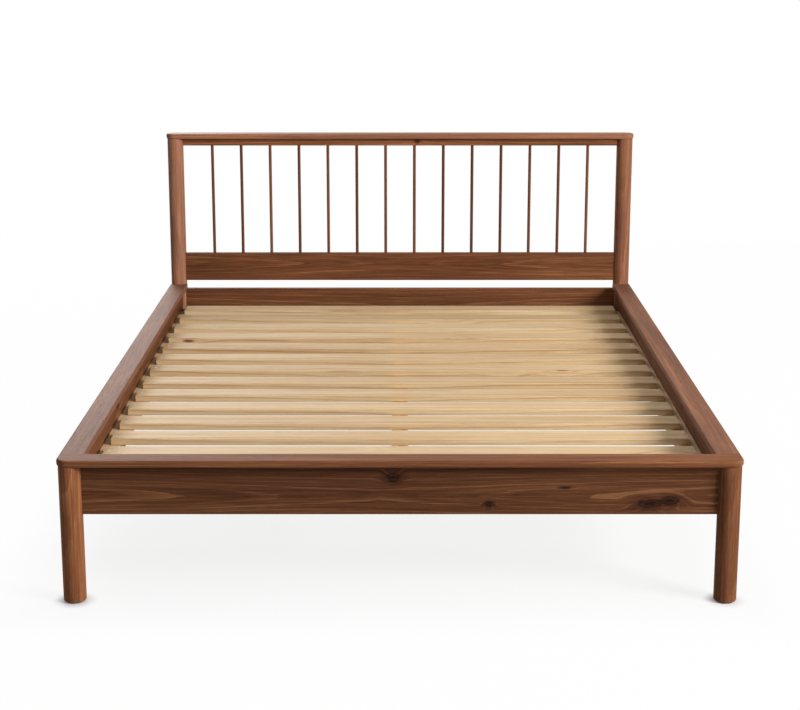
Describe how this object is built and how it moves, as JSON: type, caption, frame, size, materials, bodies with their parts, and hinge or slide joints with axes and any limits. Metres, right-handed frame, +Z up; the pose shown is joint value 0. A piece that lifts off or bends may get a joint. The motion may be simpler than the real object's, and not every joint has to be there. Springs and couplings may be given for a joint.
{
  "type": "bed frame",
  "caption": "Wooden platform bed frame with a spindle headboard, round legs, capped rails and a slatted deck on a centre beam.",
  "frame": {"origin": "on the floor, at the middle of the bounding box's underside", "axes": "+Z up, +Y towards the headboard, +X to the right seen from the foot end"},
  "size_m": [1.664, 2.157, 0.912],
  "materials": {
    "frame_wood": "walnut stain, satin",
    "deck_wood": "bare sanded softwood",
    "dowel_wood": "bare beech",
    "bracket_steel": "black powder coat",
    "fastener_steel": "zinc plated",
    "foot_plastic": "moulded"
  },
  "bodies": {
    "frame": {"headboard_post_left": "frame_wood", "headboard_post_right": "frame_wood", "headboard_cap": "frame_wood", "headboard_upper_rail": "frame_wood", "headboard_lower_rail": "frame_wood", "headboard_cross_rail": "frame_wood", "spindle_01": "frame_wood", "spindle_02": "frame_wood", "spindle_03": "frame_wood", "spindle_04": "frame_wood", "spindle_05": "frame_wood", "spindle_06": "frame_wood", "spindle_07": "frame_wood", "spindle_08": "frame_wood", "spindle_09": "frame_wood", "spindle_10": "frame_wood", "spindle_11": "frame_wood", "spindle_12": "frame_wood", "spindle_13": "frame_wood", "spindle_14": "frame_wood", "foot_leg_left": "frame_wood", "foot_leg_right": "frame_wood", "foot_rail": "frame_wood", "foot_cap": "frame_wood", "side_rail_left": "frame_wood", "side_rail_right": "frame_wood", "side_cap_left": "frame_wood", "side_cap_right": "frame_wood", "slat_ledger_left": "deck_wood", "slat_ledger_right": "deck_wood", "slat_01": "deck_wood", "slat_02": "deck_wood", "slat_03": "deck_wood", "slat_04": "deck_wood", "slat_05": "deck_wood", "slat_06": "deck_wood", "slat_07": "deck_wood", "slat_08": "deck_wood", "slat_09": "deck_wood", "slat_10": "deck_wood", "slat_11": "deck_wood", "slat_12": "deck_wood", "slat_13": "deck_wood", "slat_14": "deck_wood", "center_beam": "deck_wood", "center_leg_front": "deck_wood", "center_leg_rear": "deck_wood", "cap_dowels": "dowel_wood", "beam_hangers": "bracket_steel", "corner_brackets": "bracket_steel", "threaded_inserts": "fastener_steel", "corner_bolts": "fastener_steel", "bracket_screws": "fastener_steel", "ledger_screws": "fastener_steel", "slat_screws": "fastener_steel", "leg_glides": "foot_plastic"},
    "leveller_base_front": {"leveller_base_front": "foot_plastic"},
    "leveller_stud_front": {"leveller_stud_front": "fastener_steel"},
    "leveller_base_rear": {"leveller_base_rear": "foot_plastic"},
    "leveller_stud_rear": {"leveller_stud_rear": "fastener_steel"}
  },
  "joints": [
    {"name": "leveller_front_height", "type": "slide", "parent": "frame", "child": "leveller_base_front", "axis": [0, 0, 1], "range_m": [-0.01, 0.01]},
    {"name": "leveller_front_turn", "type": "hinge", "parent": "leveller_base_front", "child": "leveller_stud_front", "pos_m": [0, -0.3, 0], "axis": [0, 0, 1], "range_deg": [-2870, 2870]},
    {"name": "leveller_rear_height", "type": "slide", "parent": "frame", "child": "leveller_base_rear", "axis": [0, 0, 1], "range_m": [-0.01, 0.01]},
    {"name": "leveller_rear_turn", "type": "hinge", "parent": "leveller_base_rear", "child": "leveller_stud_rear", "pos_m": [0, 0.3, 0], "axis": [0, 0, 1], "range_deg": [-2870, 2870]}
  ],
  "couplings": [
    {"joint": "leveller_front_height", "follows": "leveller_front_turn", "m_per_rad": 0.00019894},
    {"joint": "leveller_rear_height", "follows": "leveller_rear_turn", "m_per_rad": 0.00019894}
  ]
}
